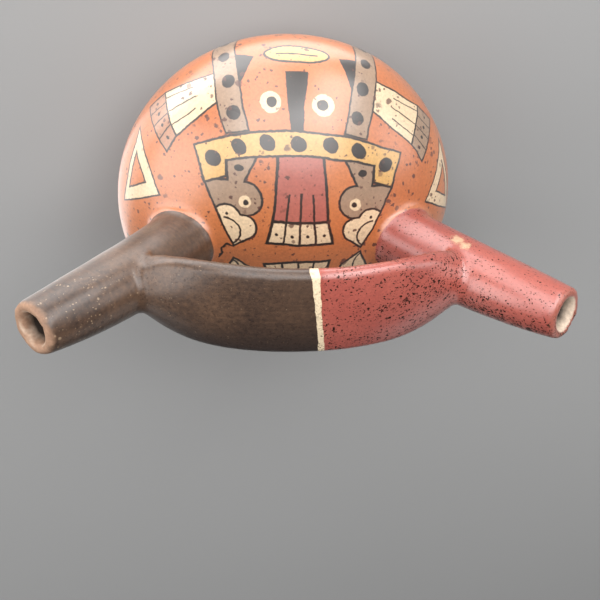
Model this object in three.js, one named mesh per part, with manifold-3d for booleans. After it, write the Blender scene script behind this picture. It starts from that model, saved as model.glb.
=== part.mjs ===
// Painted pottery bottle with two leaning spouts and an arched strap bridge between them.
// It is one hollow piece of fired clay that stands on a small flat base.
// Millimetres, +Z up. The origin is the centre of the base, X runs from spout to spout,
// and -Y is the front of the bottle.
import * as THREE from 'three';
import { mergeVertices } from 'three/addons/utils/BufferGeometryUtils.js';
import Module from 'manifold-3d';

// Body: a flattened round of two half spheroids that share one equator
const BODY_RADIUS = 70;
const UPPER_RISE = 42;
const LOWER_DROP = 41;
const BASE_RADIUS = 24;
const EQUATOR_Z = LOWER_DROP * Math.sqrt(1 - (BASE_RADIUS / BODY_RADIUS) ** 2);
const BODY_SIDES = 56;
const BODY_RINGS = 12;

// Hollow: the wall is even round the sides, and the floor is a little thicker
const WALL = 5;
const FLOOR = 5.5;
const HOLLOW_SIDES = 36;
const HOLLOW_RINGS = 8;

// Spouts: tapering tubes with a slight swell, leaning out from the shoulder and more towards the tip,
// where they are cut on a slant that turns the mouth a little up and to the front
const SPOUT_FOOT_X = 44.45;
const SPOUT_LENGTH = 71.2;
const SPOUT_SUNK = 14;
const SPOUT_LEAN_FOOT = THREE.MathUtils.degToRad(35.6);
const SPOUT_LEAN_TIP = THREE.MathUtils.degToRad(50.9);
const SPOUT_FOOT_RADIUS = 12.8;
const SPOUT_TIP_RADIUS = 9.5;
const SPOUT_SWELL = 1.3;
const SPOUT_FLARE = 1.2;
const SPOUT_FLARE_REACH = 6;
const SPOUT_SIDES = 28;
const SPOUT_RINGS = 11;
const LIP_ROUND = 2.2;
const LIP_STEPS = 3;
const SLANT_UP = 0.165;
const SLANT_FRONT = 0.115;
const SLANT_START = 16;
const SLANT_FULL = 4;

// Bore: a funnel mouth, a narrow throat, then a channel that widens into the body
const MOUTH_RADIUS = 6.3;
const MOUTH_PAST_RIM = 1.2;
const THROAT_RADIUS = 4.5;
const THROAT_DEPTH = 9;
const CHANNEL_RADIUS = 9.5;
const CHANNEL_SUNK = 16;
const BORE_SIDES = 16;
const BORE_RINGS = 5;

// Strap bridge: a band that thins to its edges, bent over a round arch and drooping towards the spouts
const STRAP_HALF_WIDTH = 17.7;
const STRAP_THICKNESS = 8;
const STRAP_THINNING = 0.42;
const STRAP_EDGE_ROUND = 3.6;
const STRAP_TOP_Z = EQUATOR_Z + 79;
const ARCH_RADIUS = 125;
const STRAP_HALF_LENGTH = 65;
const STRAP_NARROWING = 0.4;
const STRAP_DROOP = 5.2;
const STRAP_CROWN = 0.8;
const STRAP_STEPS = 26;
const STRAP_FACE_STEPS = 4;
const STRAP_ROUND_SEGMENTS = 3;

const CLAY = new THREE.MeshStandardMaterial({ color: 0xb4623a, roughness: 0.42, metalness: 0 });

const wasm = await Module();
wasm.setup();

// A closed geometry as a solid: shared vertices merged, triangles that have no area dropped.
function toSolid(geometry) {
  const bare = geometry.clone();
  bare.deleteAttribute('normal');
  bare.deleteAttribute('uv');
  const merged = mergeVertices(bare, 1e-4);
  const index = merged.index.array;
  const triangles = [];
  for (let i = 0; i < index.length; i += 3) {
    const [a, b, c] = [index[i], index[i + 1], index[i + 2]];
    if (a !== b && b !== c && c !== a) triangles.push(a, b, c);
  }
  return new wasm.Manifold(new wasm.Mesh({
    numProp: 3,
    vertProperties: new Float32Array(merged.attributes.position.array),
    triVerts: new Uint32Array(triangles),
  }));
}

// The solid's surface as a geometry with flat facets.
function toGeometry(solid) {
  const mesh = solid.getMesh();
  const geometry = new THREE.BufferGeometry();
  geometry.setAttribute('position', new THREE.BufferAttribute(new Float32Array(mesh.vertProperties), 3));
  geometry.setIndex(new THREE.BufferAttribute(new Uint32Array(mesh.triVerts), 1));
  geometry.computeVertexNormals();
  return geometry;
}

// Moves every vertex of a straight-made geometry to where the map puts it.
function shapeVertices(geometry, map) {
  const position = geometry.attributes.position;
  const vertex = new THREE.Vector3();
  for (let i = 0; i < position.count; i += 1) {
    vertex.fromBufferAttribute(position, i);
    map(vertex);
    position.setXYZ(i, vertex.x, vertex.y, vertex.z);
  }
  return geometry;
}

// Half profile of a spheroid from low on its axis to high on it, about the equator at height 0.
function roundProfile(radius, drop, rise, lowest, rings) {
  const start = Math.asin(lowest / drop);
  const points = [new THREE.Vector2(0, lowest)];
  for (let i = 0; i <= rings; i += 1) {
    const angle = start * (1 - i / rings);
    points.push(new THREE.Vector2(radius * Math.cos(angle), drop * Math.sin(angle)));
  }
  for (let i = 1; i < rings; i += 1) {
    const angle = (Math.PI / 2) * (i / rings);
    points.push(new THREE.Vector2(radius * Math.cos(angle), rise * Math.sin(angle)));
  }
  points.push(new THREE.Vector2(0, rise));
  return points;
}

// Turned solid that stands on +Z, with its profile's height 0 at the equator.
function turnedBody(profile, sides) {
  const geometry = new THREE.LatheGeometry(profile, sides);
  geometry.rotateX(Math.PI / 2);
  geometry.translate(0, 0, EQUATOR_Z);
  return geometry;
}

function bodySolid() {
  const profile = roundProfile(BODY_RADIUS, LOWER_DROP, UPPER_RISE, -EQUATOR_Z, BODY_RINGS);
  return toSolid(turnedBody(profile, BODY_SIDES));
}

function hollowSolid() {
  const drop = EQUATOR_Z - FLOOR;
  const profile = roundProfile(BODY_RADIUS - WALL, drop, UPPER_RISE - WALL, -drop, HOLLOW_RINGS);
  profile.splice(1, 1);
  return toSolid(turnedBody(profile, HOLLOW_SIDES));
}

// Height of the body's outer surface above the base, at a distance from the axis.
function shoulderHeight(distance) {
  return EQUATOR_Z + UPPER_RISE * Math.sqrt(1 - (distance / BODY_RADIUS) ** 2);
}

// Bends a tube that was turned about Y onto the spout's line, with Y as the way along it.
function bendToSpout(vertex) {
  const start = SPOUT_LENGTH - SLANT_START;
  const nearTip = THREE.MathUtils.smoothstep(vertex.y, start, SPOUT_LENGTH - SLANT_FULL);
  const along = vertex.y + nearTip * (SLANT_UP * vertex.x - SLANT_FRONT * vertex.z);
  const turn = (SPOUT_LEAN_TIP - SPOUT_LEAN_FOOT) / SPOUT_LENGTH;
  const lean = SPOUT_LEAN_FOOT + turn * along;
  const lineX = SPOUT_FOOT_X + (Math.cos(SPOUT_LEAN_FOOT) - Math.cos(lean)) / turn;
  const lineZ = shoulderHeight(SPOUT_FOOT_X) + (Math.sin(lean) - Math.sin(SPOUT_LEAN_FOOT)) / turn;
  vertex.set(lineX + vertex.x * Math.cos(lean), -vertex.z, lineZ - vertex.x * Math.sin(lean));
}

// Outer radius of a spout at a distance along it from the shoulder.
function spoutRadius(along) {
  const share = along / SPOUT_LENGTH;
  const taper = THREE.MathUtils.lerp(SPOUT_FOOT_RADIUS, SPOUT_TIP_RADIUS, share);
  const swell = SPOUT_SWELL * 4 * share * (1 - share);
  return taper + swell + SPOUT_FLARE * Math.exp(-((along / SPOUT_FLARE_REACH) ** 2));
}

function spoutSolid() {
  const points = [new THREE.Vector2(0, -SPOUT_SUNK)];
  const shaftEnd = SPOUT_LENGTH - LIP_ROUND;
  for (let i = 0; i <= SPOUT_RINGS; i += 1) {
    const along = THREE.MathUtils.lerp(-SPOUT_SUNK, shaftEnd, i / SPOUT_RINGS);
    points.push(new THREE.Vector2(spoutRadius(along), along));
  }
  const lipCentre = spoutRadius(shaftEnd) - LIP_ROUND;
  for (let i = 1; i <= LIP_STEPS; i += 1) {
    const angle = (Math.PI / 2) * (i / LIP_STEPS);
    const radius = lipCentre + LIP_ROUND * Math.cos(angle);
    points.push(new THREE.Vector2(radius, shaftEnd + LIP_ROUND * Math.sin(angle)));
  }
  points.push(new THREE.Vector2(0, SPOUT_LENGTH));
  return toSolid(shapeVertices(new THREE.LatheGeometry(points, SPOUT_SIDES), bendToSpout));
}

function boreSolid() {
  const throat = SPOUT_LENGTH - THROAT_DEPTH;
  const points = [new THREE.Vector2(0, -CHANNEL_SUNK)];
  for (let i = 0; i <= BORE_RINGS; i += 1) {
    const along = THREE.MathUtils.lerp(-CHANNEL_SUNK, throat, i / BORE_RINGS);
    const radius = THREE.MathUtils.lerp(CHANNEL_RADIUS, THROAT_RADIUS, i / BORE_RINGS);
    points.push(new THREE.Vector2(radius, along));
  }
  points.push(new THREE.Vector2(MOUTH_RADIUS, SPOUT_LENGTH));
  points.push(new THREE.Vector2(MOUTH_RADIUS, SPOUT_LENGTH + MOUTH_PAST_RIM));
  points.push(new THREE.Vector2(0, SPOUT_LENGTH + MOUTH_PAST_RIM));
  return toSolid(shapeVertices(new THREE.LatheGeometry(points, BORE_SIDES), bendToSpout));
}

// Section of the strap: a rectangle with rounded corners, its width along X and its height along Y.
function strapSection() {
  const halfHeight = STRAP_THICKNESS / 2;
  const round = STRAP_EDGE_ROUND;
  const cornerX = STRAP_HALF_WIDTH - round;
  const cornerY = halfHeight - round;
  const section = new THREE.Shape();
  section.moveTo(-cornerX, -halfHeight);
  for (let i = 1; i <= STRAP_FACE_STEPS; i += 1) {
    section.lineTo(THREE.MathUtils.lerp(-cornerX, cornerX, i / STRAP_FACE_STEPS), -halfHeight);
  }
  section.absarc(cornerX, -cornerY, round, -Math.PI / 2, 0);
  section.absarc(cornerX, cornerY, round, 0, Math.PI / 2);
  for (let i = 1; i <= STRAP_FACE_STEPS; i += 1) {
    section.lineTo(THREE.MathUtils.lerp(cornerX, -cornerX, i / STRAP_FACE_STEPS), halfHeight);
  }
  section.absarc(-cornerX, cornerY, round, Math.PI / 2, Math.PI);
  section.absarc(-cornerX, -cornerY, round, Math.PI, 1.5 * Math.PI);
  return section;
}

// Bends the straight strap over its arch, thins its edges, narrows its ends and lets the edges droop.
function bendToArch(vertex) {
  const along = vertex.z - STRAP_HALF_LENGTH;
  const nearEnd = Math.abs(along) / STRAP_HALF_LENGTH;
  const across = vertex.x * (1 - STRAP_NARROWING * nearEnd ** 5);
  const edge = (vertex.x / STRAP_HALF_WIDTH) ** 2;
  const droop = (STRAP_DROOP * nearEnd ** 3 + STRAP_CROWN) * edge;
  const angle = along / ARCH_RADIUS;
  const out = ARCH_RADIUS - STRAP_THICKNESS / 2 + vertex.y * (1 - STRAP_THINNING * edge) - droop;
  const archCentreZ = STRAP_TOP_Z + STRAP_THICKNESS / 2 - ARCH_RADIUS;
  vertex.set(out * Math.sin(angle), across, archCentreZ + out * Math.cos(angle));
}

function strapSolid() {
  const straight = new THREE.ExtrudeGeometry(strapSection(), {
    depth: 2 * STRAP_HALF_LENGTH,
    steps: STRAP_STEPS,
    curveSegments: STRAP_ROUND_SEGMENTS,
    bevelEnabled: false,
  });
  return toSolid(shapeVertices(straight, bendToArch));
}

// The same solid mirrored to the other side of the bottle.
function onOtherSide(solid) {
  return solid.mirror([1, 0, 0]);
}

function bottleGeometry() {
  const spout = spoutSolid();
  const bore = boreSolid();
  const outside = bodySolid().add(spout).add(onOtherSide(spout)).add(strapSolid());
  const inside = hollowSolid().add(bore).add(onOtherSide(bore));
  return toGeometry(outside.subtract(inside));
}

const bottle = new THREE.Mesh(bottleGeometry(), CLAY);
bottle.name = 'bottle';

const group = new THREE.Group();
group.name = 'double_spout_bottle';
group.add(bottle);

export default group;
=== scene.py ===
"""Looks of a painted pottery bottle with two leaning spouts and a strap bridge.

The form is one closed shell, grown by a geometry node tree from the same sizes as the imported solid.
Its slips are painted by a shader tree. The trees work in millimetres, and the meshes are in metres.
"""

import logging
import math
from dataclasses import dataclass, fields
from enum import Enum
from functools import reduce
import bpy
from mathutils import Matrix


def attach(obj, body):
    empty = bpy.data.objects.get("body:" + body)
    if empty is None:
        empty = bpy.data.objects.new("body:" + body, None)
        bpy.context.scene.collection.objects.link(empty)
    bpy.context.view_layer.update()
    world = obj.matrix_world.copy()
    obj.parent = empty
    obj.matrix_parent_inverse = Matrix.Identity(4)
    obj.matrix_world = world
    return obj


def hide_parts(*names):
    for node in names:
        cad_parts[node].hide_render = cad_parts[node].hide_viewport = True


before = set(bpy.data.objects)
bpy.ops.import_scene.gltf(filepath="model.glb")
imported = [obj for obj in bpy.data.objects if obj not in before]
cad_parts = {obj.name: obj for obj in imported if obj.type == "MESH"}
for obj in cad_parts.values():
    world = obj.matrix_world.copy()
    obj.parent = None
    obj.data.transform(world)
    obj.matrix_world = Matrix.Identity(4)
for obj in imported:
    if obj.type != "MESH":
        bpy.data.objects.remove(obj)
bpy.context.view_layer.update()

from types import SimpleNamespace
from typing import Callable, Sequence, Union

import bpy
from mathutils import Matrix, Vector

LOG = logging.getLogger("bottle")
MILLIMETRE = 0.001

Colour = tuple[float, float, float]
Corner = tuple[float, float]
Place = tuple[float, float, float]
Operand = Union["Signal", float, Sequence[float]]


def linked(name: str, data: bpy.types.ID) -> bpy.types.Object:
    """Makes an object of the scene from its data."""
    item = bpy.data.objects.new(name, data)
    bpy.context.scene.collection.objects.link(item)
    return item


def math_method(name: str, swapped: bool = False) -> Callable[..., "Signal"]:
    """Makes a method of Signal.

    Args:
        name: Blender's name of the Math node's operation.
        swapped: whether the signal is the second operand.

    Returns:
        The method, which takes the other operands.
    """

    def method(self: "Signal", *others: Operand) -> "Signal":
        """Adds the Math node and gives its result."""
        return self.sheet.math(name, *((*others, self) if swapped else (self, *others)))

    return method


class Signal:
    """One output of a node tree that takes part in sums, so that a formula reads as one line."""

    __add__ = math_method("ADD")
    __radd__ = math_method("ADD", swapped=True)
    __sub__ = math_method("SUBTRACT")
    __rsub__ = math_method("SUBTRACT", swapped=True)
    __mul__ = math_method("MULTIPLY")
    __truediv__ = math_method("DIVIDE")
    __pow__ = math_method("POWER")
    __abs__ = math_method("ABSOLUTE")
    root = math_method("SQRT")
    most = math_method("MAXIMUM")
    least = math_method("MINIMUM")
    soft_most = math_method("SMOOTH_MAX")
    soft_least = math_method("SMOOTH_MIN")

    def __init__(self, sheet: "NodeSheet", socket: bpy.types.NodeSocket) -> None:
        """Keeps the sheet that the node is on and its output socket."""
        self.sheet = sheet
        self.socket = socket

    def __neg__(self) -> "Signal":
        """The same amount with its sign turned."""
        return self * -1.0

    def ramp(self, low: float, high: float) -> "Signal":
        """Share from 0 at low to 1 at high, which may be the smaller of the two."""
        slope = 1.0 / (high - low)
        return self.sheet.math("MULTIPLY_ADD", self, slope, -low * slope, clamp=True)


class NodeSheet:
    """A node tree that is written as formulas."""

    MEASURES = ("DOT_PRODUCT", "LENGTH", "DISTANCE")
    MIX_FACTOR, MIX_FIRST, MIX_SECOND, MIX_RESULT = 0, 6, 7, 2
    NOISE_NUMBER, NOISE_VECTOR = 0, 1
    NOISE_MIDDLE = 0.5
    NEAR_NOTHING = 1e-5

    def __init__(self, tree: bpy.types.NodeTree) -> None:
        """Keeps the tree to write on."""
        self.tree = tree

    def feed(self, socket: bpy.types.NodeSocket, value: Operand) -> None:
        """Links a signal to an input socket, or sets the socket to a plain value.

        Args:
            socket: the input.
            value: a signal, a number, a vector or a colour.
        """
        if isinstance(value, Signal):
            self.tree.links.new(value.socket, socket)
        elif socket.type == "RGBA" and len(value) == 3:
            socket.default_value = (*value, 1.0)
        else:
            socket.default_value = value

    def feed_all(self, node: bpy.types.Node, values: dict[str, Operand]) -> None:
        """Feeds the inputs of a node that are named."""
        for title, value in values.items():
            self.feed(node.inputs[title], value)

    def add(self, kind: str, *operands: Operand, **settings: object) -> bpy.types.Node:
        """Adds a node.

        Args:
            kind: Blender's name of the node's type.
            operands: what its first inputs get, in order.
            settings: properties of the node.

        Returns:
            The new node.
        """
        node = self.tree.nodes.new(kind)
        for name, value in settings.items():
            setattr(node, name, value)
        for socket, value in zip(node.inputs, operands):
            self.feed(socket, value)
        return node

    def math(self, operation: str, *operands: Operand, clamp: bool = False) -> Signal:
        """Adds a Math node.

        Args:
            operation: Blender's name of the operation.
            operands: its inputs in order.
            clamp: whether the result is held between 0 and 1.

        Returns:
            The result.
        """
        node = self.add("ShaderNodeMath", *operands, operation=operation, use_clamp=clamp)
        return Signal(self, node.outputs[0])

    def vector(self, operation: str, *operands: Operand) -> Signal:
        """Adds a Vector Math node.

        Args:
            operation: Blender's name of the operation.
            operands: its vector inputs in order.

        Returns:
            The vector, or the number where the operation measures one.
        """
        node = self.add("ShaderNodeVectorMath", *operands, operation=operation)
        return Signal(self, node.outputs["Value" if operation in self.MEASURES else "Vector"])

    def scaled(self, vector: Operand, factor: Operand) -> Signal:
        """A vector times a number."""
        node = self.add("ShaderNodeVectorMath", operation="SCALE")
        self.feed_all(node, {"Vector": vector, "Scale": factor})
        return Signal(self, node.outputs["Vector"])

    def parts(self, vector: Signal) -> list[Signal]:
        """The three parts of a vector."""
        return [Signal(self, output) for output in self.add("ShaderNodeSeparateXYZ", vector).outputs]

    def joined(self, x: Operand, y: Operand, z: Operand) -> Signal:
        """A vector from its three parts."""
        return Signal(self, self.add("ShaderNodeCombineXYZ", x, y, z).outputs[0])

    def object_point(self) -> Signal:
        """The place on the object, in millimetres."""
        place = Signal(self, self.add("ShaderNodeTexCoord").outputs["Object"])
        return self.scaled(place, 1.0 / MILLIMETRE)

    def round_distance(self, once: Signal, twice: Signal) -> Signal:
        """Distance past the surface of an oval.

        Args:
            once: place from its middle, in parts of its half sizes.
            twice: that, in parts of its half sizes again.

        Returns:
            Distance, negative inside.
        """
        share = self.vector("LENGTH", once)
        return share * (share - 1.0) / self.vector("LENGTH", twice).most(self.NEAR_NOTHING)

    def noise(self, point: Signal, grain: float, detail: float = 2.0, output: int = NOISE_NUMBER) -> Signal:
        """Adds soft noise.

        Args:
            point: where it is read, in millimetres.
            grain: size of its blotches in millimetres.
            detail: number of finer layers.
            output: whether a number or three independent parts are wanted.

        Returns:
            Noise around its middle, as a number or as a vector.
        """
        node = self.add("ShaderNodeTexNoise")
        self.feed_all(node, {"Vector": point, "Scale": 1.0 / grain, "Detail": detail})
        return Signal(self, node.outputs[output])

    def wobble(self, point: Signal, grain: float, detail: float) -> Signal:
        """The same noise as a number around zero."""
        return self.noise(point, grain, detail) - self.NOISE_MIDDLE

    def cells(self, point: Signal, grain: float) -> tuple[Signal, list[Signal]]:
        """Adds scattered grains.

        Args:
            point: where they are read, in millimetres.
            grain: mean spacing of the grains in millimetres.

        Returns:
            Distance to the nearest grain in millimetres, and three random shares of that grain.
        """
        node = self.add("ShaderNodeTexVoronoi")
        self.feed_all(node, {"Vector": point, "Scale": 1.0 / grain})
        near = Signal(self, node.outputs["Distance"]) * grain
        return near, self.parts(Signal(self, node.outputs["Color"]))

    def blend(self, share: Operand, first: Operand, second: Operand) -> Signal:
        """Blends two colours.

        Args:
            share: how much of the second colour shows.
            first: colour at share 0.
            second: colour at share 1.

        Returns:
            The blended colour.
        """
        node = self.add("ShaderNodeMix", data_type="RGBA")
        self.feed(node.inputs[self.MIX_FACTOR], share)
        self.feed(node.inputs[self.MIX_FIRST], first)
        self.feed(node.inputs[self.MIX_SECOND], second)
        return Signal(self, node.outputs[self.MIX_RESULT])


@dataclass(frozen=True)
class BottleSizes:
    """Sizes of the bottle's form in millimetres and radians, which become the trees' named inputs."""

    body_radius: float = 70.0
    upper_rise: float = 42.0
    lower_drop: float = 41.0
    equator_height: float = 38.515
    base_round: float = 2.0
    wall: float = 5.0
    floor: float = 5.5
    spout_foot_reach: float = 44.45
    spout_lean_foot: float = math.radians(35.6)
    spout_lean_tip: float = math.radians(50.9)
    spout_length: float = 71.2
    spout_sunk: float = 14.0
    spout_foot_radius: float = 12.8
    spout_tip_radius: float = 9.5
    spout_swell: float = 1.3
    spout_flare: float = 0.5
    flare_reach: float = 7.0
    lip_round: float = 2.6
    lip_wear: float = 1.0
    lip_wear_reach: float = 5.0
    slant_up: float = 0.165
    slant_front: float = 0.115
    slant_uneven: float = 0.05
    mouth_round: float = 2.2
    mouth_radius: float = 6.3
    throat_radius: float = 4.5
    throat_depth: float = 9.0
    channel_radius: float = 9.5
    channel_sunk: float = 16.0
    strap_half_width: float = 17.7
    strap_thickness: float = 8.0
    strap_thinning: float = 0.42
    strap_edge_round: float = 2.2
    strap_top: float = 117.515
    arch_radius: float = 125.0
    strap_half_length: float = 65.0
    strap_narrowing: float = 0.4
    strap_droop: float = 5.2
    strap_crown: float = 0.8
    strap_blend: float = 4.5
    foot_blend: float = 6.0
    grid_step: float = 1.35
    unevenness: float = 0.35
    grid_reach: float = 101.0
    grid_depth: float = 73.0
    grid_low: float = -3.0
    grid_high: float = 133.0


class ShellMark(Enum):
    """Measures that the form leaves on its points for the finish to read."""

    ARM_EDGE = "arm_edge"
    SEAM = "seam"
    ALONG = "along"
    INSIDE = "inside"
    CONVEX = "convex"


class SizedTree:
    """A geometry node tree with one named input for each size of the bottle."""

    def __init__(
        self, name: str, sizes: BottleSizes, inputs: dict[str, str], outputs: dict[str, str]
    ) -> None:
        """Makes the tree and its sockets.

        Args:
            name: the tree's name.
            sizes: the bottle's sizes.
            inputs: titles of further inputs, with their socket types.
            outputs: titles of the outputs, with their socket types.
        """
        self.sizes = sizes
        self.titles = {f.name: f.name.replace("_", " ").title() for f in fields(sizes)}
        self.tree = bpy.data.node_groups.new(name, "GeometryNodeTree")
        for title, kind in inputs.items():
            self.tree.interface.new_socket(title, in_out="INPUT", socket_type=kind)
        for field, title in self.titles.items():
            socket = self.tree.interface.new_socket(title, in_out="INPUT", socket_type="NodeSocketFloat")
            socket.default_value = getattr(sizes, field)
        for title, kind in outputs.items():
            self.tree.interface.new_socket(title, in_out="OUTPUT", socket_type=kind)
        self.sheet = NodeSheet(self.tree)
        self.entry = self.sheet.add("NodeGroupInput")
        self.leave = self.sheet.add("NodeGroupOutput")
        self.size = SimpleNamespace(
            **{field: Signal(self.sheet, self.entry.outputs[title]) for field, title in self.titles.items()}
        )


class ClayDistance(SizedTree):
    """Tree that measures how far a point is from the clay's surface, and the marks for the finish."""

    POINT = "Point"
    DISTANCE = "Distance"
    LIP_GRAIN = 5.0
    LIP_WEAR_MIDDLE = 0.4
    TUBE_WEAR_SHARE = 0.4
    THROAT_ROUND = 1.0
    BORE_ROUND = 3.0
    NARROWING_POWER = 5.0
    DROOP_POWER = 3.0
    DROOP_LIMIT = 1.2

    def __init__(self, sizes: BottleSizes) -> None:
        """Makes the tree and writes it."""
        marks = [mark.value for mark in ShellMark if mark is not ShellMark.CONVEX]
        outputs = dict.fromkeys((self.DISTANCE, *marks), "NodeSocketFloat")
        super().__init__("bottle_distance", sizes, {self.POINT: "NodeSocketVector"}, outputs)
        self.point = Signal(self.sheet, self.entry.outputs[self.POINT])
        self.x, self.y, self.z = self.sheet.parts(self.point)
        self.along, self.cut, self.off = self._spout_place()
        self._write()

    def _spheroid(self, height: Signal, radius: Signal, rise: Signal) -> Signal:
        """Distance to a flattened round about the bottle's axis.

        Args:
            height: height above its middle.
            radius: its radius at the middle.
            rise: its half height.

        Returns:
            Distance outwards from its surface.
        """
        once = self.sheet.joined(self.x / radius, self.y / radius, height / rise)
        square = radius * radius
        twice = self.sheet.joined(self.x / square, self.y / square, height / (rise * rise))
        return self.sheet.round_distance(once, twice)

    def _spout_place(self) -> tuple[Signal, Signal, Signal]:
        """Where the point is on the bent line of the nearer spout.

        Returns:
            Distance along the line from the shoulder, the same measured square to the slanted mouth,
            and distance from the line.
        """
        sheet, size, y = self.sheet, self.size, self.y
        bend = size.spout_length / (size.spout_lean_tip - size.spout_lean_foot)
        reach = size.spout_foot_reach / size.body_radius
        foot_height = size.equator_height + size.upper_rise * (1.0 - reach * reach).root()
        back = size.spout_foot_reach + sheet.math("COSINE", size.spout_lean_foot) * bend - abs(self.x)
        rise = self.z - foot_height + sheet.math("SINE", size.spout_lean_foot) * bend
        turned = sheet.math("ARCTAN2", rise, back) - size.spout_lean_foot
        above = (back * back + rise * rise).root() - bend
        uneven = sheet.math("SIGN", self.x) * size.slant_uneven
        slant = above * (size.slant_up - uneven) - y * (size.slant_front - uneven)
        return turned * bend, turned * bend + slant, (above * above + y * y).root()

    def _spout(self) -> Signal:
        """Distance to the outside of the spouts: a flared foot, a slight swell and a worn round lip.

        Returns:
            Distance outwards from the surface.
        """
        size, along = self.size, self.along
        share = along / size.spout_length
        taper = (size.spout_tip_radius - size.spout_foot_radius) * share
        swell = size.spout_swell * 4.0 * share * (1.0 - share)
        near_foot = along / size.flare_reach
        flare = size.spout_flare * self.sheet.math("EXPONENT", -(near_foot * near_foot))
        tube = self.off - (size.spout_foot_radius + taper + swell + flare)
        past = self.cut - size.spout_length
        near_lip = (1.0 + past / size.lip_wear_reach).most(0.0).least(1.0)
        chance = self.sheet.noise(self.point, self.LIP_GRAIN) - self.LIP_WEAR_MIDDLE
        wear = chance * size.lip_wear * near_lip
        capped = (tube + wear * self.TUBE_WEAR_SHARE).soft_most(past + wear, size.lip_round)
        return capped.most(-along - size.spout_sunk)

    def _bore(self) -> Signal:
        """Distance to the inside of the spouts: a funnel mouth, a throat and a widening channel.

        Returns:
            Distance outwards from the surface of the bores.
        """
        size, cut = self.size, self.cut
        throat = size.spout_length - size.throat_depth
        widening = (size.channel_radius - size.throat_radius) / (throat + size.channel_sunk)
        channel = size.throat_radius + (throat - cut) * widening
        opening = (size.mouth_radius - size.throat_radius) / size.throat_depth
        funnel = size.throat_radius + (cut - throat) * opening
        return (self.off - channel.soft_most(funnel, self.THROAT_ROUND)).most(-cut - size.channel_sunk)

    def _strap(self) -> Signal:
        """Distance to the flat strap that arches from spout to spout.

        Returns:
            Distance outwards from its surface.
        """
        sheet, size, x, y = self.sheet, self.size, self.x, self.y
        middle = size.strap_thickness * 0.5
        up = self.z - (size.strap_top + middle - size.arch_radius)
        along = sheet.math("ARCTAN2", abs(x), up) * size.arch_radius
        near_end = (along / size.strap_half_length).least(1.0)
        width = size.strap_half_width * (1.0 - size.strap_narrowing * near_end**self.NARROWING_POWER)
        across = (abs(y) / width).least(self.DROOP_LIMIT)
        droop = (size.strap_droop * near_end**self.DROOP_POWER + size.strap_crown) * across * across
        out = (x * x + up * up).root() - (size.arch_radius - middle) + droop
        half = middle * (1.0 - size.strap_thinning * across * across)
        beside = abs(y) - width + size.strap_edge_round
        above = abs(out) - half + size.strap_edge_round
        corner = sheet.vector("LENGTH", sheet.joined(beside.most(0.0), above.most(0.0), 0.0))
        band = corner + beside.most(above).least(0.0) - size.strap_edge_round
        return band.most(along - size.strap_half_length)

    def _write(self) -> None:
        """Joins body, spouts and strap, takes the hollow and the bores out, and feeds the outputs."""
        sheet, size = self.sheet, self.size
        height = self.z - size.equator_height
        above = sheet.math("GREATER_THAN", height, 0.0)

        rise = size.lower_drop + (size.upper_rise - size.lower_drop) * above
        body = self._spheroid(height, size.body_radius, rise).soft_most(-self.z, size.base_round)
        spout = self._spout()
        strap = self._strap()
        arms = spout.soft_least(strap, size.strap_blend)
        outside = body.soft_least(arms, size.foot_blend)

        drop = size.equator_height - size.floor
        inner_rise = drop + (size.upper_rise - size.wall - drop) * above
        hollow = self._spheroid(height, size.body_radius - size.wall, inner_rise)
        inside = hollow.soft_least(self._bore(), self.BORE_ROUND)

        sheet.feed_all(self.leave, {
            self.DISTANCE: outside.soft_most(-inside, size.mouth_round),
            ShellMark.ARM_EDGE.value: arms - body,
            ShellMark.SEAM.value: strap - spout,
            ShellMark.ALONG.value: self.cut,
            ShellMark.INSIDE.value: inside,
        })


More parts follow.
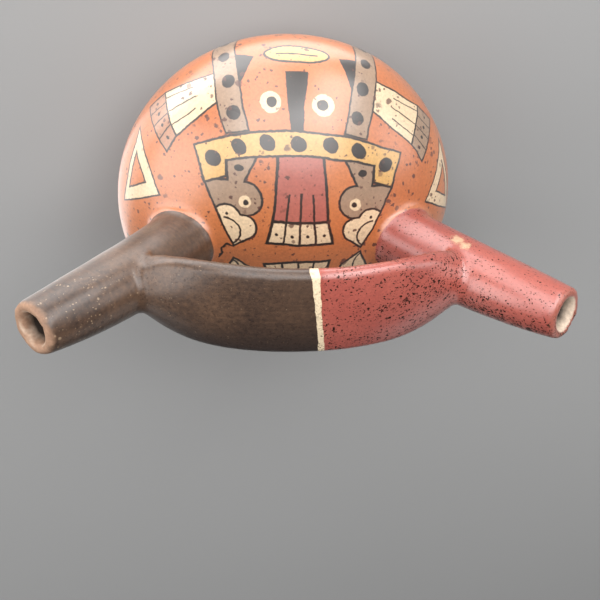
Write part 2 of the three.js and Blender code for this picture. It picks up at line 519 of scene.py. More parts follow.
class BottleForm(SizedTree):
    """The closed clay shell: body, spouts and strap outside, hollow and bores inside."""

    NAME = "painted_bottle"
    SHAPE = "Geometry"
    AXES = ((1, 0, 0), (0, 1, 0), (0, 0, 1))
    BACKGROUND = -1.0
    SLOPE_STEP = 0.05
    LEAST_SLOPE = 0.01
    CONVEX_STEP = 1.5
    SWELL_GRAIN = 46.0
    DENT_GRAIN = 13.0
    DENT_SHARE = 0.35
    FLAT_BASE = (0.5, 9.0)

    def __init__(self, sizes: BottleSizes) -> None:
        """Makes the tree, and measures the distance to the clay where each point is."""
        super().__init__("bottle_form", sizes, {}, {self.SHAPE: "NodeSocketGeometry"})
        self.distance_tree = ClayDistance(sizes).tree
        place = Signal(self.sheet, self.sheet.add("GeometryNodeInputPosition").outputs[0])
        self.point = self.sheet.scaled(place, 1.0 / MILLIMETRE)
        self.here = self._measured(self.point)
        self.distance = Signal(self.sheet, self.here.outputs[ClayDistance.DISTANCE])
        self.shape = self._skin()

    def _measured(self, where: Signal) -> bpy.types.Node:
        """Reads the distance tree.

        Args:
            where: the place to read it at, in millimetres.

        Returns:
            The node that holds its measures.
        """
        node = self.sheet.add("GeometryNodeGroup", node_tree=self.distance_tree)
        sizes = {title: getattr(self.size, field) for field, title in self.titles.items()}
        self.sheet.feed_all(node, {ClayDistance.POINT: where, **sizes})
        return node

    def _clay_beside(self, axis: Sequence[int], step: float) -> Signal:
        """Measures the distance to the clay beside each point.

        Args:
            axis: direction of the step.
            step: its length in millimetres.

        Returns:
            The distance.
        """
        shift = [step * part for part in axis]
        node = self._measured(self.sheet.vector("ADD", self.point, shift))
        return Signal(self.sheet, node.outputs[ClayDistance.DISTANCE])

    def _skin(self) -> bpy.types.NodeSocket:
        """Skins a volume that is dense where the clay is.

        Returns:
            The mesh.
        """
        sheet, size = self.sheet, self.size
        low = sheet.joined(-size.grid_reach, -size.grid_depth, size.grid_low)
        high = sheet.joined(size.grid_reach, size.grid_depth, size.grid_high)
        spans = sheet.parts(sheet.vector("SUBTRACT", high, low))
        cube = sheet.add("GeometryNodeVolumeCube")
        sheet.feed_all(cube, {
            "Density": -self.distance,
            "Background": self.BACKGROUND,
            "Min": sheet.scaled(low, MILLIMETRE),
            "Max": sheet.scaled(high, MILLIMETRE),
            **{f"Resolution {axis}": span / size.grid_step for axis, span in zip("XYZ", spans)},
        })
        skin = sheet.add("GeometryNodeVolumeToMesh", resolution_mode="GRID")
        skin.inputs["Threshold"].default_value = 0.0
        self.tree.links.new(cube.outputs["Volume"], skin.inputs["Volume"])
        return skin.outputs["Mesh"]

    def _step(self, kind: str, **settings: object) -> bpy.types.Node:
        """Adds a node that the shape passes through.

        Args:
            kind: Blender's name of the node's type.
            settings: properties of the node.

        Returns:
            The new node.
        """
        node = self.sheet.add(kind, **settings)
        self.tree.links.new(self.shape, node.inputs[self.SHAPE])
        self.shape = node.outputs[self.SHAPE]
        return node

    def _settle(self) -> None:
        """Moves the skin onto the clay's true surface, and then gives it a hand's unevenness."""
        sheet = self.sheet
        nudges = [self._clay_beside(axis, self.SLOPE_STEP) for axis in self.AXES]
        slope = sheet.joined(*[(nudge - self.distance) / self.SLOPE_STEP for nudge in nudges])
        steep = sheet.vector("DOT_PRODUCT", slope, slope).most(self.LEAST_SLOPE)
        settle = sheet.scaled(slope, self.distance / steep * -MILLIMETRE)
        swell = sheet.wobble(self.point, self.SWELL_GRAIN, 0.0)
        dent = sheet.wobble(self.point, self.DENT_GRAIN, 1.0) * self.DENT_SHARE
        above_base = sheet.parts(self.point)[2].ramp(*self.FLAT_BASE)
        uneven = (swell + dent) * above_base * self.size.unevenness * (2.0 * MILLIMETRE)
        for offset in (settle, settle, sheet.scaled(slope, uneven)):
            sheet.feed(self._step("GeometryNodeSetPosition").inputs["Offset"], offset)

    def _keep_marks(self) -> None:
        """Leaves the finish's measures on the points."""
        sides = (-self.CONVEX_STEP, self.CONVEX_STEP)
        around = [self._clay_beside(axis, side) for axis in self.AXES for side in sides]
        rise = reduce(Signal.__add__, around) - self.distance * float(len(around))
        for mark in ShellMark:
            keep = self._step("GeometryNodeStoreNamedAttribute", data_type="FLOAT", domain="POINT")
            keep.inputs["Name"].default_value = mark.value
            if mark is ShellMark.CONVEX:
                value = rise / (self.CONVEX_STEP**2)
            else:
                value = Signal(self.sheet, self.here.outputs[mark.value])
            self.sheet.feed(keep.inputs["Value"], value)

    def build(self, material: bpy.types.Material) -> bpy.types.Object:
        """Grows the shell and keeps it as a plain mesh.

        Args:
            material: the finish that it carries.

        Returns:
            The bottle, placed by its mesh.
        """
        self._settle()
        self._keep_marks()
        self._step("GeometryNodeSetShadeSmooth")
        self._step("GeometryNodeRealizeInstances")
        self._step("GeometryNodeSetMaterial").inputs["Material"].default_value = material
        self.tree.links.new(self.shape, self.leave.inputs[self.SHAPE])
        mould = linked("mould", bpy.data.meshes.new("mould"))
        modifier = mould.modifiers.new("form", "NODES")
        modifier.node_group = self.tree
        names = {title: field for field, title in self.titles.items()}
        for socket in self.tree.interface.items_tree:
            if socket.in_out == "INPUT":
                modifier[socket.identifier] = getattr(self.sizes, names[socket.name])
        depsgraph = bpy.context.evaluated_depsgraph_get()
        mesh = bpy.data.meshes.new_from_object(
            mould.evaluated_get(depsgraph), preserve_all_data_layers=True, depsgraph=depsgraph
        )
        bpy.data.objects.remove(mould)
        mesh.name = self.NAME
        return linked(self.NAME, mesh)


@dataclass(frozen=True)
class SlipColours:
    """Colours of the slips, of the bare clay and of painted shade, as linear red, green and blue."""

    orange: Colour = (0.53, 0.172, 0.058)
    orange_deep: Colour = (0.46, 0.134, 0.043)
    cream: Colour = (0.72, 0.53, 0.335)
    ochre: Colour = (0.60, 0.345, 0.115)
    maroon: Colour = (0.39, 0.110, 0.080)
    grey_brown: Colour = (0.32, 0.207, 0.134)
    grey_faded: Colour = (0.40, 0.175, 0.095)
    black: Colour = (0.022, 0.014, 0.011)
    # dark_slip also fills the back edges, where the worn brown fades out as painted shade.
    dark_slip: Colour = (0.026, 0.014, 0.010)
    dark_worn: Colour = (0.135, 0.072, 0.040)
    red_slip: Colour = (0.42, 0.094, 0.065)
    # Deeper red, used for random blotches and for painted shade towards the back.
    red_deep_and_shade: Colour = (0.33, 0.060, 0.041)
    stripe: Colour = (0.80, 0.63, 0.42)
    rim_clay: Colour = (0.36, 0.215, 0.140)
    mouth_clay: Colour = (0.68, 0.54, 0.42)
    # Near-black painted shade deep in the throats.
    throat_shade: Colour = (0.030, 0.020, 0.015)
    speck: Colour = (0.085, 0.028, 0.020)
    pit: Colour = (0.014, 0.006, 0.004)
    fleck: Colour = (0.36, 0.25, 0.155)
    chip: Colour = (0.62, 0.40, 0.24)


class Canvas:
    """A picture plane laid over the bottle, where areas and lines of slip cover one another."""

    EDGE = 0.28

    def __init__(
        self, sheet: NodeSheet, place: tuple[Signal, Signal], ground: Signal, colours: SlipColours
    ) -> None:
        """Lays the plane.

        Args:
            sheet: the tree to write on.
            place: where the point is on the plane.
            ground: the colour that is painted on.
            colours: the slips.
        """
        self.sheet = sheet
        self.across, self.out = place
        self.flat = sheet.joined(*place, 1.0)
        self.colour = ground
        self.slip = colours

    def _past(self, direction: Vector, start: Vector) -> Signal:
        """Distance from a point, measured along a direction."""
        return self.sheet.vector("DOT_PRODUCT", self.flat, (*direction, -direction.dot(start)))

    def half_plane(self, start: Corner, end: Corner, within: Corner) -> Signal:
        """Distance past a straight edge.

        Args:
            start: one point of the edge.
            end: another point of it.
            within: a point on the side that counts as inside.

        Returns:
            Distance, negative inside.
        """
        outwards = (Vector(end) - Vector(start)).normalized().orthogonal()
        if outwards.dot(Vector(within) - Vector(start)) > 0.0:
            outwards.negate()
        return self._past(outwards, Vector(start))

    def polygon(self, *corners: Corner) -> Signal:
        """Distance past the edges of an area with straight sides and no hollow corner.

        Args:
            corners: its corners in order.

        Returns:
            Distance, negative inside.
        """
        middle = [sum(parts) / len(corners) for parts in zip(*corners)]
        sides = zip(corners, corners[1:] + corners[:1])
        return reduce(Signal.most, [self.half_plane(start, end, middle) for start, end in sides])

    def disc(self, middle: Corner, radius: float) -> Signal:
        """Distance past the edge of a round area."""
        return self.sheet.vector("DISTANCE", self.flat, (*middle, 1.0)) - radius

    def oval(self, middle: Corner, half_width: float, half_height: float) -> Signal:
        """Distance past the edge of an oval area.

        Args:
            middle: its middle.
            half_width: half its size across.
            half_height: half its size outwards.

        Returns:
            Distance, negative inside.
        """
        parts = (1.0 / half_width, 1.0 / half_height, 0.0)
        once = self.sheet.vector("MULTIPLY", self.sheet.vector("SUBTRACT", self.flat, (*middle, 1.0)), parts)
        return self.sheet.round_distance(once, self.sheet.vector("MULTIPLY", once, parts))

    def stroke(self, start: Corner, end: Corner) -> Signal:
        """Distance from a straight brush line.

        Args:
            start: one end of it.
            end: its other end.

        Returns:
            Distance, 0 along the line's middle.
        """
        run = Vector(end) - Vector(start)
        along = run.normalized()
        aside = self._past(along.orthogonal(), Vector(start))
        reach = self._past(along, Vector(start) + run / 2)
        return abs(aside).most(abs(reach) - run.length / 2)

    def fill(self, distance: Signal, colour: Operand) -> None:
        """Covers an area with a colour."""
        mask = distance.ramp(self.EDGE / 2, -self.EDGE / 2)
        self.colour = self.sheet.blend(mask, self.colour, colour)

    def line(self, distance: Signal, half_width: float, colour: Operand) -> None:
        """Draws a brush line along the edge of an area."""
        self.fill(abs(distance) - half_width, colour)


class ShoulderPicture(Canvas):
    """The painted picture in plain shapes: a face, a headband, animal heads, a plume and feathers.

    Places are millimetres on the canvas: across from the middle line, then out from the bottle's top.
    They follow the photograph, averaged over its two sides.
    """

    THIN_LINE = 0.24
    FINE_LINE = 0.36
    LINE = 0.45
    BOLD_LINE = 0.58
    CELLS = 4
    CELL_MIDDLE = 0.48
    CELL_DOT = 0.7
    PLUME_DOT = 0.66
    COLUMN_DOT = 2.65
    BAND_DOT = 2.9
    UPPER_BOW = 0.0052
    LOWER_BOW = 0.0044

    def _edged(self, distance: Signal, colour: Operand, half_width: float = LINE) -> None:
        """Fills an area and draws its outline."""
        self.fill(distance, colour)
        self.line(distance, half_width, self.slip.black)

    def _dots(self, radius: float, *places: Corner) -> None:
        """Paints black dots."""
        for place in places:
            self.fill(self.disc(place, radius), self.slip.black)

    def _strokes(self, half_width: float, *runs: tuple[Corner, Corner]) -> None:
        """Paints straight brush lines."""
        for start, end in runs:
            self.fill(self.stroke(start, end) - half_width, self.slip.black)

    def side_triangle(self) -> None:
        """A cream triangle with a smaller triangle of the ground left open in it."""
        outer = self.polygon((68.3, 40.4), (54.3, 16.3), (75.2, 5.8))
        self._edged(outer, self.slip.cream, self.FINE_LINE)
        inner = self.polygon((67.8, 29.8), (61.2, 19.2), (71.0, 14.0))
        self._edged(inner, self.slip.orange, self.FINE_LINE)

    def side_feather(self, end_colour: Signal) -> None:
        """A cream feather with three quill lines and a row of dotted cells at its end.

        Args:
            end_colour: colour of the cells.
        """
        inner, outer = ((56.4, 56.6), (47.1, 40.7)), ((64.7, 49.8), (52.0, 33.8))
        cream = self.polygon((33.0, 66.4), (29.4, 55.6), inner[1], inner[0])
        self._edged(cream, self.slip.cream, self.FINE_LINE)
        end = self.polygon(*inner, outer[1], outer[0])
        self._edged(end, end_colour, self.FINE_LINE)
        quills = (((41.6, 59.6), (54.3, 54.3)), ((39.6, 56.4), (51.2, 49.2)), ((39.2, 51.8), (48.6, 44.6)))
        self._strokes(self.THIN_LINE, *quills)

        def between(edge: tuple[Corner, Corner], share: float) -> Corner:
            """Point part of the way along an edge."""
            return tuple(a + (b - a) * share for a, b in zip(*edge))

        def rung(share: float) -> tuple[Corner, Corner]:
            """Line across the end, part of the way along it."""
            return between(inner, share), between(outer, share)

        self._strokes(self.THIN_LINE, *[rung(cut / self.CELLS) for cut in range(1, self.CELLS)])
        middles = [(cell + self.CELL_MIDDLE) / self.CELLS for cell in range(self.CELLS)]
        self._dots(self.CELL_DOT, *[between(rung(share), 0.5) for share in middles])

    def column(self) -> None:
        """A grey-brown column with black dots, and the black triangle beside it."""
        column = self.polygon((17.8, 46.0), (26.6, 44.2), (42.8, 92.0), (30.4, 92.0))
        self._edged(column, self.slip.grey_brown, self.FINE_LINE)
        self._dots(self.COLUMN_DOT, (23.4, 52.0), (27.0, 63.0), (31.0, 74.4), (35.4, 85.8))
        self.fill(self.polygon((25.8, 75.6), (18.0, 75.0), (22.2, 61.8)), self.slip.black)

    def face(self) -> None:
        """Two round eyes, a wedge for the nose and an oval for the mouth."""
        nose = self.polygon((-1.0, 46.5), (2.2, 46.5), (4.6, 68.5), (-1.0, 68.5))
        self.fill(nose, self.slip.black)
        self.fill(self.disc((10.1, 56.7), 4.1), self.slip.cream)
        self._dots(2.05, (9.8, 56.7))
        self._edged(self.oval((0.0, 76.3), 13.8, 4.1), self.slip.ochre)
        self._strokes(self.FINE_LINE, ((0.0, 76.2), (8.5, 76.0)))

    def animal_head(self) -> None:
        """An animal's head that hangs from the headband, with an ear, a round eye and a cream muzzle."""
        panel = self.half_plane((36.1, 25.8), (24.8, 1.7), (20.0, 20.0))
        ear = self.polygon((15.6, 38.4), (28.4, 38.0), (27.1, 23.0), (23.6, 23.0))
        brow = self.polygon((20.8, 27.9), (37.0, 27.2), (37.0, 15.0), (20.8, 15.0)).most(panel)
        head = self.disc((21.1, 21.4), 6.5).least(brow).least(ear)
        self._edged(head, self.slip.grey_brown)
        self.fill(self.oval((23.2, 32.4), 1.9, 1.2), self.slip.black)
        jaw = self.polygon((17.8, 6.6), (24.8, 1.7), (31.6, 15.6), (23.6, 14.4))
        nose = self.disc((27.4, 13.0), 5.4)
        muzzle = self.disc((21.8, 10.0), 5.2).least(nose).least(jaw).most(panel)
        self._edged(muzzle, self.slip.cream)
        smile = abs(self.disc((28.0, 7.6), 5.6)) - self.FINE_LINE
        under = self.half_plane((28.6, 0.0), (28.6, 20.0), (20.0, 10.0))
        self.fill(smile.most(muzzle).most(under), self.slip.black)
        self._dots(0.6, (27.6, 14.8))
        self.fill(self.disc((21.0, 20.4), 2.35), self.slip.cream)
        self._dots(1.05, (20.6, 20.2))

    def plume(self) -> None:
        """A maroon plume below the headband with a cream end of four dotted cells."""
        top, strip, low = (8.3, 39.2), (10.6, 13.4), (12.8, 4.1)
        middle = -2.0
        maroon = self.polygon((middle, top[1]), top, strip, (middle, strip[1]))
        self._edged(maroon, self.slip.maroon, self.BOLD_LINE)
        cream = self.polygon((middle, strip[1]), strip, low, (middle, low[1]))
        self._edged(cream, self.slip.cream, self.BOLD_LINE)
        self._strokes(self.LINE, ((0.0, 24.4), (0.0, low[1])), ((4.3, 24.2), (6.2, low[1])))
        self._dots(self.PLUME_DOT, (2.9, 7.9), (9.2, 8.0))

    def headband(self) -> None:
        """An ochre band with black dots that bends over the brow and ends in two tabs."""
        bow = self.across * self.across
        upper = self.out + bow * self.UPPER_BOW - 46.9
        lower = 38.2 - bow * self.LOWER_BOW - self.out
        side = self.half_plane((39.9, 38.1), (36.1, 25.8), (0.0, 40.0))
        tab = self.polygon((28.4, 36.0), (39.4, 38.0), (36.1, 25.8), (28.1, 28.8))
        band = upper.most(lower).least(tab).most(upper).most(side)
        self._edged(band, self.slip.ochre)
        self._dots(self.BAND_DOT, (0.0, 42.4), (11.7, 42.4), (22.5, 40.1), (33.1, 34.7))

    def paint(self, feather_end: Signal) -> Signal:
        """Paints the whole picture, from the lowest layer to the highest.

        Args:
            feather_end: colour of the feathers' ends, which fades to one side.

        Returns:
            The colour of the body.
        """
        self.side_triangle()
        self.side_feather(feather_end)
        self.column()
        self.face()
        self.animal_head()
        self.plume()
        self.headband()
        return self.colour


@dataclass(frozen=True)
class Grains:
    """Scattered specks: mean spacing, radius of the largest and half width of their edge."""

    spacing: float
    largest: float
    edge: float


class PaintedClay:
    """Finish of the bottle: burnished slips over clay, with mineral specks, worn rims and painted shade on
    back sides and in the mouths.

    Grains, places and widths are in millimetres, and shares run from 0 to 1.
    """

    NAME = "painted_clay"
    FINE_SPECKS = Grains(1.7, 1.15, 0.13)
    COARSE_SPECKS = Grains(5.8, 2.6, 0.25)
    FINE_PITS = Grains(0.55, 0.7, 0.07)
    GASHES = Grains(2.1, 0.8, 0.08)
    FLECKS = Grains(1.1, 0.55, 0.08)
    RARITY = (0.1, 0.5)
    PIT_DRAW = (0.7, 1.0, 1.0)
    GASH_DRAW = (1.0, 0.34, 1.0)
    STREAK_DRAW = (0.06, 1.0, 1.0)
    STREAK_TURN = 0.12
    STREAK_GRAIN = 1.1
    MOTTLE_GRAIN = 26.0
    EVEN_SPAN = (0.3, 0.7)
    RED_SPAN = (-3.0, -5.0)
    SEAM_SPAN = (-1.0, 1.0)
    STRIPE_PLACE = -3.2
    STRIPE_SLANT = 0.137
    STRIPE_HALF_WIDTH = 1.02
    STRIPE_GRAIN, STRIPE_SWAY = 4.0, 1.3
    STRIPE_SOFT = 0.12
    SLIP_SOFT = 0.1
    FOOT_EDGE = -0.6
    FOOT_SOFT = 0.2
    FOOT_GRAIN, FOOT_SWAY = 6.0, 1.6
    FOOT_SPECK_SPAN = (16.0, 3.0)
    PATCH_GRAIN = 24.0
    FADE_SPAN = (-5.0, 5.0)
    RUB_GRAIN = 1.6
    # Span of y over which the worn brown fades out towards the back: painted shade.
    BACK_SHADE_SPAN = (15.0, 1.0)
    RUB_TIP_SPAN = (2.0, 34.0)
    # Span of y over which the red darkens towards the back: painted shade.
    RED_BACK_SHADE_SPAN = (3.0, 13.0)
    FLECK_SPAN = (8.0, 58.0)
    PIT_GRAIN = 11.0
    PIT_TIP_SPAN = (-10.0, -55.0)
    # Pits crowd towards the back: partly real pits, partly painted shade.
    PIT_AND_SHADE_STRAP_SPAN = (2.0, 14.0)
    PIT_AND_SHADE_SPOUT_SPAN = (-1.0, 5.0)
    PIT_FRONT_SPAN = (2.0, -5.0)
    RIM_GRAIN = 3.5
    LIP_START, LIP_END = 2.0, 0.2
    # Span down the bore over which the throat darkens: painted shade.
    MOUTH_START, MOUTH_END = 1.2, 5.0
    # Grain of the darker blotches in the dark spout's mouth, which are painted shade.
    MOUTH_SHADE_GRAIN = 4.5
    CLAY_GRAIN = 1.0
    BURNISH_GRAIN = 8.0
    CHIPS = (((-58.9, -12.8, 91.4), 2.3), ((-60.9, -12.5, 95.2), 1.7))
    CHIP_SOFT = 0.7
    CHIP_GRAIN, CHIP_SWAY = 1.7, 4.5
    CRACK = ((24.2, -2.4), (26.6, -3.3), (28.8, -1.2), (28.4, 0.6), (29.6, 2.7))
    CRACK_HALF_WIDTH = 0.42
    NEAR_AXIS = 0.01
    MEAN_RISE = 41.5
    ARC_MEAN = 56.0
    ARC_SWELL = 7.0
    RAGGED_HAND = (1.5, 1.5)
    SLOW_HAND = (14.0, 1.9)
    QUICK_HAND = (1.6, 0.6)
    MIDDLE_SHIFT = 1.2
    BROW_SPAN, BROW_SHIFT = (47.0, 36.0), 1.9
    DRIFT_START, DRIFT_BOW = 52.0, 0.0016
    PICTURE_TILT = 0.04
    SPECULAR_LEVEL = 0.2
    COAT_IOR = 1.9
    COAT_ROUGHNESS = 0.32
    BUMP_STRENGTH = 0.35
    BUMP_DISTANCE = 0.0004

    def __init__(self, colours: SlipColours, sizes: BottleSizes) -> None:
        """Starts the material, and works out what its slips share.

        Args:
            colours: the slips.
            sizes: sizes of the form that they cover.
        """
        self.slip = colours
        self.sizes = sizes
        self.material = bpy.data.materials.new(self.NAME)
        self.material.use_nodes = True
        self.material.node_tree.nodes.clear()
        self.sheet = NodeSheet(self.material.node_tree)
        self.point = self.sheet.object_point()
        self.x, self.y, self.z = self.sheet.parts(self.point)
        self.along = self._mark(ShellMark.ALONG)
        self.on_spout = self._mark(ShellMark.SEAM).ramp(*self.SEAM_SPAN)
        self.on_red = self.x.ramp(*self.RED_SPAN)
        self.on_dark = 1.0 - self.on_red
        self.mottle = self._noise(self.MOTTLE_GRAIN, 3.0)
        self.streak = self._streaks()
        self.warped = self.sheet.vector("ADD", self.point, self._shake(*self.RAGGED_HAND))
        sway = self.sheet.wobble(self.point, self.FOOT_GRAIN, 2.0) * self.FOOT_SWAY
        self.foot = self._mark(ShellMark.ARM_EDGE) + sway
        self.on_arm = self.foot.ramp(self.FOOT_EDGE + self.FOOT_SOFT, self.FOOT_EDGE - self.FOOT_SOFT)

    def _mark(self, mark: ShellMark) -> Signal:
        """A measure that the form left on its points."""
        node = self.sheet.add("ShaderNodeAttribute", attribute_name=mark.value)
        return Signal(self.sheet, node.outputs["Fac"])

    def _noise(self, grain: float, detail: float) -> Signal:
        """Soft noise with blotches of one size and a number of finer layers."""
        return self.sheet.noise(self.point, grain, detail)

    def _shake(self, grain: float, reach: float) -> Signal:
        """Small shift of a place, with three independent parts."""
        noise = self.sheet.noise(self.point, grain, 1.0, self.sheet.NOISE_VECTOR)
        return self.sheet.scaled(self.sheet.vector("SUBTRACT", noise, [self.sheet.NOISE_MIDDLE] * 3), reach)

    def _specks(self, point: Signal, grains: Grains, crowd: Operand) -> Signal:
        """Share of a spot that specks cover.

        Args:
            point: place, which may be ragged or drawn out.
            grains: spacing and size of the specks.
            crowd: share of their size that they have in this place.

        Returns:
            Share from 0 to 1.
        """
        near, chance = self.sheet.cells(point, grains.spacing)
        radius = chance[0] * chance[1] * grains.largest * crowd
        return (radius - near).ramp(-grains.edge, grains.edge) * chance[2].ramp(*self.RARITY)

    def _streaks(self) -> Signal:
        """Fine lines of the burnishing stone: along the strap, and round the spouts.

        Returns:
            Noise around 0.5, drawn out along the lines.
        """
        sheet = self.sheet
        strap = sheet.noise(sheet.vector("MULTIPLY", self.point, self.STREAK_DRAW), self.STREAK_GRAIN)
        turned = sheet.joined(self.along, self.y * self.STREAK_TURN, 0.0)
        return strap + (sheet.noise(turned, self.STREAK_GRAIN) - strap) * self.on_spout

    def _canvas_place(self) -> tuple[Signal, Signal]:
        """Unrolls the shoulder onto the canvas, with a hand's small unsteadiness.

        Returns:
            Distance from the middle line, and distance out from the bottle's top.
        """
        sheet, x, y = self.sheet, self.x, self.y
        off = (x * x + y * y).root().most(self.NEAR_AXIS)
        height = (self.z - self.sizes.equator_height) / self.MEAN_RISE
        angle = sheet.math("ARCTAN2", off / self.sizes.body_radius, height)
        length = angle * self.ARC_MEAN + sheet.math("SINE", angle * 2.0) * self.ARC_SWELL
        share = length / off
        slow = sheet.parts(self._shake(*self.SLOW_HAND))
        quick = sheet.parts(self._shake(*self.QUICK_HAND))
        across = x * share + slow[0] + quick[0]
        out = abs(y) * share + slow[1] + quick[1]
        drift = (out - self.DRIFT_START).most(0.0)
        brow = out.ramp(*self.BROW_SPAN) * self.BROW_SHIFT
        middle = self.MIDDLE_SHIFT - drift * drift * self.DRIFT_BOW - brow
        return abs(across - middle), out - across * self.PICTURE_TILT

    def _cracked(self, colour: Signal) -> Signal:
        """Draws the hairline crack on the upper half of the body.

        Args:
            colour: colour of the painted body.

        Returns:
            The colour with the crack.
        """
        x, y, z = self.sheet.parts(self.warped)
        plan = Canvas(self.sheet, (x, y), colour, self.slip)
        strokes = [plan.stroke(start, end) for start, end in zip(self.CRACK, self.CRACK[1:])]
        below = self.sizes.equator_height - z
        plan.fill((reduce(Signal.least, strokes) - self.CRACK_HALF_WIDTH).most(below), self.slip.black)
        return plan.colour

    def _body_colour(self) -> Signal:
        """Colour of the body: the picture on orange slip, a hairline crack and brown mineral specks.

        Returns:
            The colour.
        """
        sheet, slip = self.sheet, self.slip
        ground = sheet.blend(self.mottle.ramp(0.35, 0.75), slip.orange, slip.orange_deep)
        fade = self.x.ramp(*self.FADE_SPAN) * 0.75
        feather_end = sheet.blend(fade, slip.grey_brown, slip.grey_faded)
        picture = ShoulderPicture(sheet, self._canvas_place(), ground, slip)
        colour = self._cracked(picture.paint(feather_end))
        patch = self._noise(self.PATCH_GRAIN, 1.0).ramp(0.3, 0.6) * 0.5 + 0.5
        patch = patch.most(self.foot.ramp(*self.FOOT_SPECK_SPAN))
        fine = self._specks(self.warped, self.FINE_SPECKS, patch) * 0.9
        coarse = self._specks(self.warped, self.COARSE_SPECKS, patch) * 0.8
        return sheet.blend(fine.most(coarse), colour, slip.speck)

    def _arm_colour(self) -> Signal:
        """Colour of the spouts and the strap: dark, a cream stripe, then red, with painted shade towards the
        back.

        Returns:
            The colour.
        """
        sheet, slip, x, y = self.sheet, self.slip, self.x, self.y
        grain = self._noise(self.RUB_GRAIN, 3.0).ramp(*self.EVEN_SPAN)
        wear_and_shade = self.mottle.ramp(0.3, 0.65) * 0.5 + self.streak.ramp(*self.EVEN_SPAN) * 0.22 + grain * 0.4
        # The worn brown fades out towards the back edge and leaves it darker: painted shade.
        wear_and_shade = wear_and_shade * y.ramp(*self.BACK_SHADE_SPAN) * (x.ramp(*self.RUB_TIP_SPAN) * 0.45 + 0.55)
        dark = sheet.blend(wear_and_shade.most(0.0).least(1.0), slip.dark_slip, slip.dark_worn)
        # Darker red in random blotches, and towards the back as painted shade.
        deep_and_shade = self.mottle.ramp(0.35, 0.7).most(y.ramp(*self.RED_BACK_SHADE_SPAN) * 0.95)
        red = sheet.blend(deep_and_shade, slip.red_slip, slip.red_deep_and_shade)
        edge = sheet.wobble(self.point, self.STRIPE_GRAIN, 3.0) * self.STRIPE_SWAY
        place = x - self.STRIPE_PLACE + y * self.STRIPE_SLANT + edge
        half = y * y * 0.0012 - y * 0.01 + self.STRIPE_HALF_WIDTH
        arms = sheet.blend(place.ramp(-self.SLIP_SOFT, self.SLIP_SOFT), red, dark)
        striped = (abs(place) - half).ramp(self.STRIPE_SOFT, -self.STRIPE_SOFT)
        return sheet.blend(striped, arms, slip.stripe)

    def _pits(self) -> Signal:
        """Share of a spot that pits and short gashes cover: many in the red slip, few in the dark one, and
        more towards the back, partly as painted shade.

        Returns:
            Share from 0 to 1.
        """
        sheet, y, on_spout = self.sheet, self.y, self.on_spout
        crowd = self._noise(self.PIT_GRAIN, 2.0).ramp(0.3, 0.6) * 0.6
        crowd = crowd + self.x.ramp(*self.PIT_TIP_SPAN) * 0.25 + 0.25
        # More pits towards the back and fewer on the spouts' fronts: partly real pits, partly painted shade.
        crowd = crowd.most(y.ramp(*self.PIT_AND_SHADE_STRAP_SPAN)).most(on_spout * y.ramp(*self.PIT_AND_SHADE_SPOUT_SPAN) * 1.8)
        crowd = crowd * (1.0 - on_spout * y.ramp(*self.PIT_FRONT_SPAN) * 0.5)
        fine = self._specks(sheet.vector("MULTIPLY", self.warped, self.PIT_DRAW), self.FINE_PITS, crowd)
        gashes = self._specks(sheet.vector("MULTIPLY", self.warped, self.GASH_DRAW), self.GASHES, crowd)
        return fine.most(gashes) * (self.on_red * 0.7 + 0.3)

    def _chips(self) -> Signal:
        """Share of a spot where the slip is worn off beside the strap's root.

        Returns:
            Share from 0 to 1.
        """
        sheet = self.sheet
        ragged = sheet.wobble(self.warped, self.CHIP_GRAIN, 3.0) * self.CHIP_SWAY
        past = [sheet.vector("DISTANCE", self.warped, place) - radius for place, radius in self.CHIPS]
        return (reduce(Signal.least, past) + ragged).ramp(self.CHIP_SOFT, -self.CHIP_SOFT)

    def _rims(self, colour: Signal) -> tuple[Signal, Signal]:
        """Wears the lips and crests down to the clay, leaves the mouths bare, and paints shade that darkens
        them inwards.

        Args:
            colour: colour of the slips.

        Returns:
            The colour with bare clay, and the share of a spot that is bare.
        """
        sheet, slip, along, tip = self.sheet, self.slip, self.along, self.sizes.spout_length
        chipped = sheet.wobble(self.point, self.RIM_GRAIN, 3.0)
        lip = (along + chipped * 2.6).ramp(tip - self.LIP_START, tip - self.LIP_END)
        crest = (self._mark(ShellMark.CONVEX) + chipped * 0.5).ramp(0.5, 0.9) * self.on_arm * 0.35
        worn = (lip * (1.0 - self.on_red * 0.8)).most(crest)
        colour = sheet.blend(worn, colour, slip.rim_clay)
        bare = (self._mark(ShellMark.INSIDE) + chipped * 0.8).ramp(0.8, 0.3)
        # Painted shade: the bare mouths darken deeper into the throats.
        depth = (along + chipped * 3.0).ramp(tip - self.MOUTH_START, tip - self.MOUTH_END)
        # Painted shade: darker brown blotches inside the dark spout's mouth.
        mouth_shade_blotches = (self._noise(self.MOUTH_SHADE_GRAIN, 2.0).ramp(0.36, 0.58) * 0.55 + 0.45) * self.on_dark
        mouth = sheet.blend(mouth_shade_blotches, slip.mouth_clay, slip.rim_clay)
        mouth = sheet.blend(depth, mouth, slip.throat_shade)
        return sheet.blend(bare, colour, mouth), worn.most(bare)

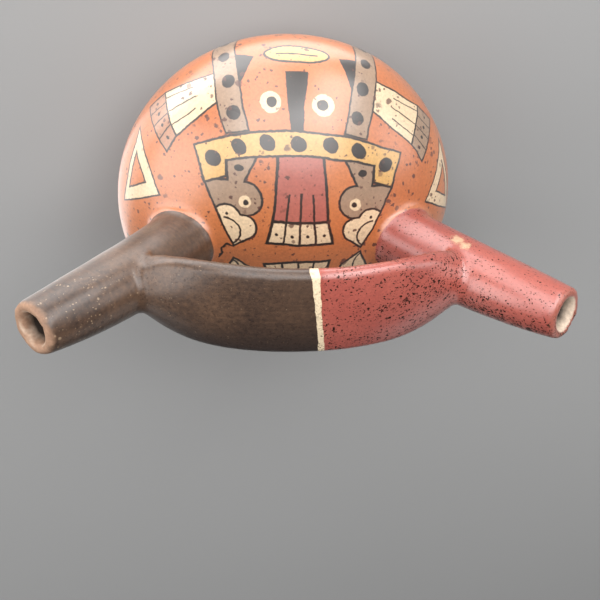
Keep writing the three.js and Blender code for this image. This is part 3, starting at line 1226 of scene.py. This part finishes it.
    def _shade(self, colour: Signal, bare: Signal, pits: Signal) -> None:
        """Gives the surface its colour, gloss and fine relief.

        Args:
            colour: colour of the slips and of the bare clay.
            bare: share of a spot that is bare clay.
            pits: share of a spot that pits cover.
        """
        sheet, on_arm = self.sheet, self.on_arm
        grain = self._noise(self.CLAY_GRAIN, 4.0) * 0.6 + 0.7
        burnish = self._noise(self.BURNISH_GRAIN, 3.0) * 0.16 + self.streak.ramp(*self.EVEN_SPAN) * 0.1
        satin = on_arm * self.on_dark * 0.03
        bump = sheet.add("ShaderNodeBump")
        sheet.feed_all(bump, {
            "Strength": self.BUMP_STRENGTH,
            "Distance": self.BUMP_DISTANCE,
            "Height": grain * 0.5 + self.streak * on_arm * 0.25 - pits * on_arm * 0.8,
        })
        shader = sheet.add("ShaderNodeBsdfPrincipled")
        sheet.feed_all(shader, {
            "Base Color": sheet.scaled(colour, grain),
            "Roughness": burnish + satin + bare * 0.28 + 0.2,
            "Specular IOR Level": self.SPECULAR_LEVEL,
            "Coat Weight": (on_arm * (self.on_red * 0.5 - 0.5) + 1.0) * (1.0 - bare.most(pits * on_arm)),
            "Coat IOR": self.COAT_IOR,
            "Coat Roughness": self.COAT_ROUGHNESS,
            "Normal": Signal(sheet, bump.outputs["Normal"]),
        })
        leave = sheet.add("ShaderNodeOutputMaterial")
        sheet.tree.links.new(shader.outputs["BSDF"], leave.inputs["Surface"])

    def build(self) -> bpy.types.Material:
        """Builds the finish.

        Returns:
            The material.
        """
        sheet, slip = self.sheet, self.slip
        pits = self._pits()
        arms = sheet.blend(pits, self._arm_colour(), slip.pit)
        flecks = self._specks(self.warped, self.FLECKS, self.along.ramp(*self.FLECK_SPAN)) * self.on_dark
        arms = sheet.blend(flecks * 0.75, arms, slip.fleck)
        colour = sheet.blend(self.on_arm, self._body_colour(), arms)
        colour = sheet.blend(self._chips() * 0.85, colour, slip.chip)
        self._shade(*self._rims(colour), pits)
        return self.material


BODY_MIDDLE: Place = (0.0, 0.0, BottleSizes.equator_height * MILLIMETRE)


@dataclass(frozen=True)
class SoftLight:
    """One soft light of the studio, in metres and watts."""

    name: str
    place: Place
    size: tuple[float, float]
    power: float
    aim: Place = BODY_MIDDLE


@dataclass
class Studio:
    """Pale floor, soft lights and the camera."""

    floor_half: float = 4.0
    floor_colour: Colour = (0.32, 0.318, 0.315)
    floor_mottle: float = 1.06
    floor_grain: float = 300.0
    floor_roughness: float = 0.9
    sky_colour: Colour = (0.94, 0.97, 1.0)
    sky_strength: float = 0.15
    aim: Place = BODY_MIDDLE
    azimuth: float = math.radians(12.4)
    elevation: float = math.radians(52.5)
    roll: float = math.radians(168.7)
    distance: float = 0.3423
    aside: float = 0.0063
    above: float = -0.0427
    lens: float = 48.0
    sensor: float = 36.0
    lights: tuple[SoftLight, ...] = (
        SoftLight("right_front_softbox", (-0.42, -0.78, 0.46), (0.42, 0.90), 5.4),
        SoftLight("left_front_softbox", (0.22, -0.82, 0.42), (0.58, 0.85), 4.0),
        SoftLight("high_front_softbox", (0.0, -0.46, 0.92), (1.0, 0.6), 5.6),
        SoftLight("left_softbox", (0.86, -0.14, 0.52), (0.80, 0.85), 5.8),
        SoftLight("right_softbox", (-0.86, -0.32, 0.42), (0.50, 0.50), 1.7),
        SoftLight("left_back_softbox", (0.70, 0.65, 0.30), (0.60, 0.40), 0.4),
        SoftLight("right_back_softbox", (-0.70, 0.65, 0.30), (0.60, 0.40), 0.4),
        SoftLight("front_reflector", (0.22, -0.32, 0.012), (0.56, 0.46), 2.4, aim=(0.22, -0.32, 1.0)),
        SoftLight("left_reflector", (0.27, -0.15, 0.012), (0.38, 0.40), 0.6, aim=(0.27, -0.15, 1.0)),
    )

    def floor(self) -> None:
        """Lays the floor."""
        half = self.floor_half
        mesh = bpy.data.meshes.new("floor")
        corners = [(-half, -half, 0.0), (half, -half, 0.0), (half, half, 0.0), (-half, half, 0.0)]
        mesh.from_pydata(corners, [], [(0, 1, 2, 3)])
        material = bpy.data.materials.new("pale_floor")
        material.use_nodes = True
        sheet = NodeSheet(material.node_tree)
        shader = material.node_tree.nodes["Principled BSDF"]
        grain = sheet.noise(sheet.object_point(), self.floor_grain, 3.0)
        paler = tuple(part * self.floor_mottle for part in self.floor_colour)
        sheet.feed(shader.inputs["Base Color"], sheet.blend(grain, self.floor_colour, paler))
        shader.inputs["Roughness"].default_value = self.floor_roughness
        mesh.materials.append(material)
        floor = linked("floor", mesh)

    def light(self, lamp: SoftLight) -> None:
        """Hangs one soft light.

        Args:
            lamp: its place, size and power.
        """
        data = bpy.data.lights.new(lamp.name, "AREA")
        data.shape = "RECTANGLE"
        data.size, data.size_y = lamp.size
        data.energy = lamp.power
        light = linked(lamp.name, data)
        light.location = lamp.place
        towards = Vector(lamp.aim) - Vector(lamp.place)
        light.rotation_euler = towards.to_track_quat("-Z", "Y").to_euler()
        light.visible_camera = False

    def sky(self) -> None:
        """Gives the room its even light."""
        world = bpy.data.worlds.new("studio")
        world.use_nodes = True
        backdrop = world.node_tree.nodes["Background"]
        backdrop.inputs["Color"].default_value = (*self.sky_colour, 1.0)
        backdrop.inputs["Strength"].default_value = self.sky_strength
        bpy.context.scene.world = world
        bpy.context.scene.view_settings.view_transform = "Standard"

    def camera(self) -> None:
        """Sets the camera at the photograph's viewing angle."""
        turn = Matrix.Rotation(self.azimuth, 4, "Z")
        turn = turn @ Matrix.Rotation(math.pi / 2 - self.elevation, 4, "X")
        turn = turn @ Matrix.Rotation(self.roll, 4, "Z")
        shift = Matrix.Translation((self.aside, self.above, self.distance))
        data = bpy.data.cameras.new("camera")
        data.lens = self.lens
        data.sensor_width = self.sensor
        camera = linked("camera", data)
        camera.matrix_world = Matrix.Translation(self.aim) @ turn @ shift
        bpy.context.scene.camera = camera

    def build(self) -> None:
        """Sets up the whole studio."""
        self.floor()
        for lamp in self.lights:
            self.light(lamp)
        self.sky()
        self.camera()


def main() -> None:
    """Builds the bottle and the studio."""
    logging.basicConfig(level=logging.INFO, format="%(name)s: %(message)s")
    sizes = BottleSizes()
    finish = PaintedClay(SlipColours(), sizes).build()
    bottle = BottleForm(sizes).build(finish)
    LOG.info("%s: %d faces", bottle.name, len(bottle.data.polygons))
    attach(bottle, "root")
    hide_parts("bottle")
    Studio().build()
    LOG.info("studio: floor, lights and camera")


if __name__ == "__main__":
    main()
